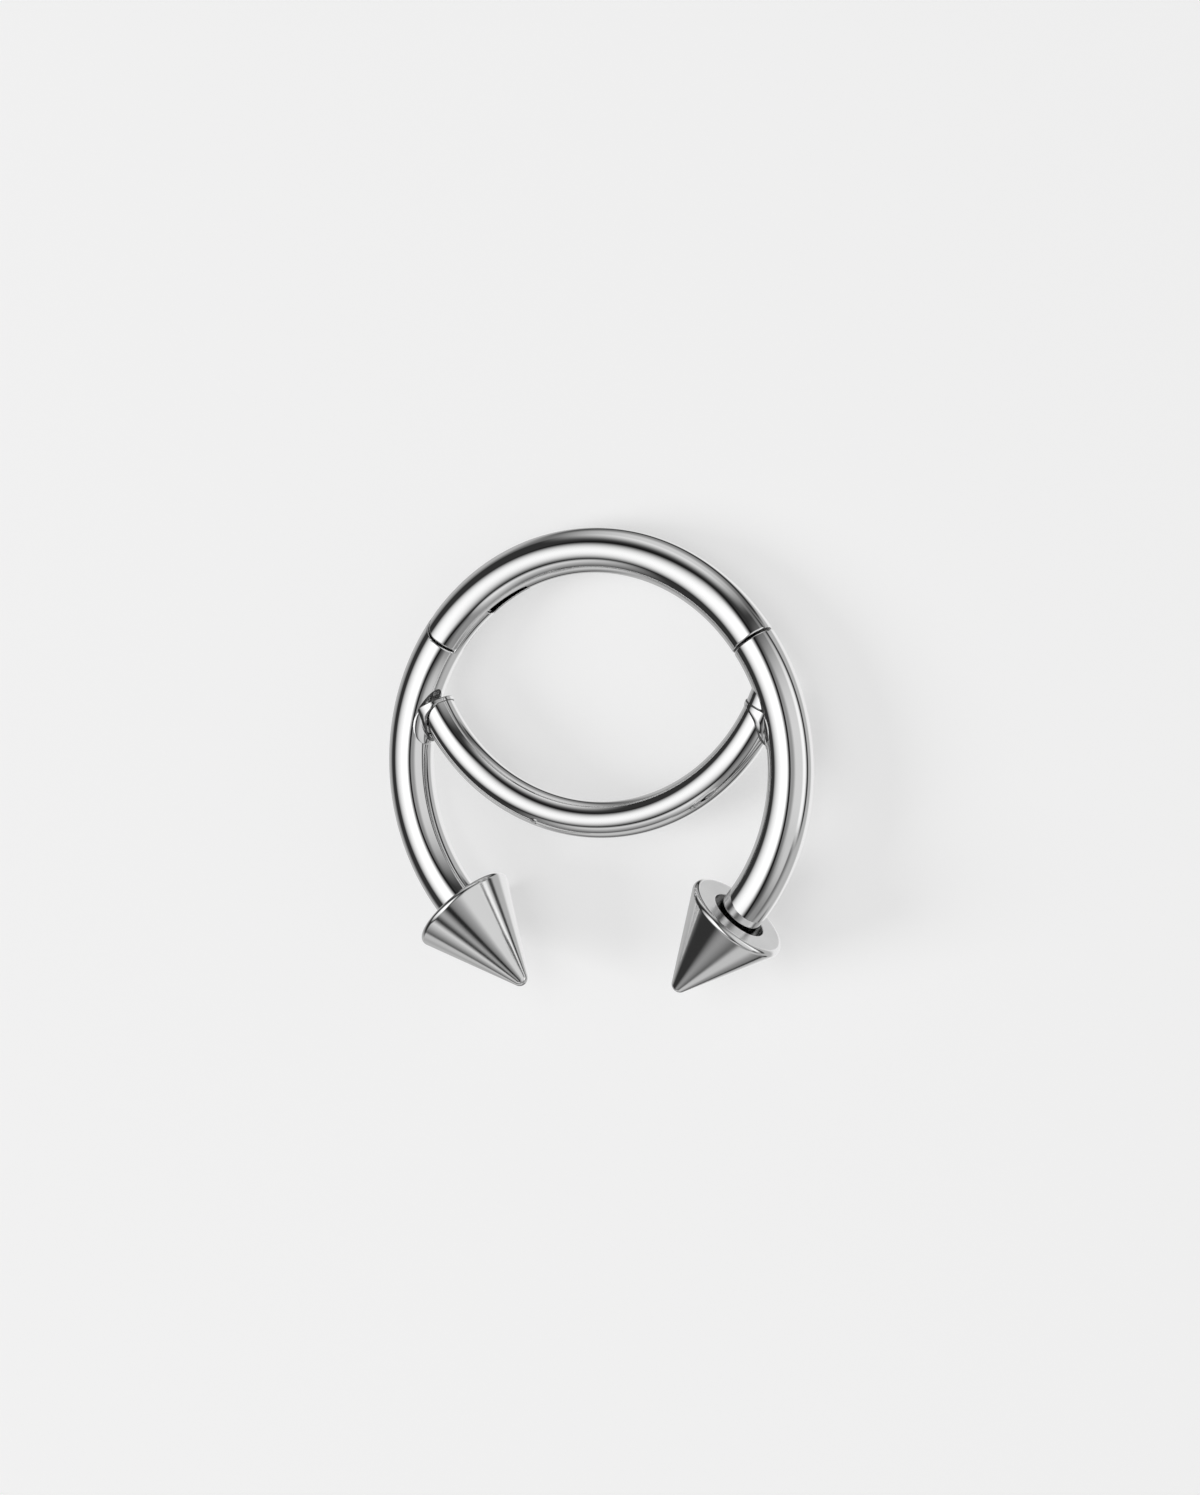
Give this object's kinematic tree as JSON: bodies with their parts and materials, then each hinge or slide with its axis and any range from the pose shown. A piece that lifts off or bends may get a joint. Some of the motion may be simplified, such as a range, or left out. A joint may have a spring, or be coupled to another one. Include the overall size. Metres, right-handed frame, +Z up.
{
  "type": "horseshoe barbell",
  "caption": "Polished steel horseshoe barbell with cone spikes on its ends, a hinged top segment that swings open, and a curved bar between its legs.",
  "frame": {"origin": "on the surface that the jewel lies on, below the middle of its outline", "axes": "+Z up from the surface, through the front of the ring, +Y towards the top of the ring, where the piercing sits, and +X to the ring's right as seen from its front"},
  "size_m": [0.0126, 0.0122, 0.0028],
  "materials": {
    "polished_steel": "polished",
    "spike_steel": "polished",
    "pin_steel": "satin"
  },
  "bodies": {
    "horseshoe": {"frame": "polished_steel", "left_spike": "spike_steel", "right_spike": "spike_steel"},
    "segment": {"hinge_segment": "polished_steel", "hinge_pin": "pin_steel"}
  },
  "joints": [
    {"name": "segment_hinge", "type": "hinge", "parent": "horseshoe", "child": "segment", "pos_m": [-0.00425, 0.00364, 0.00076], "axis": [0, 0.085, 0.9964], "range_deg": [0, 60]}
  ]
}
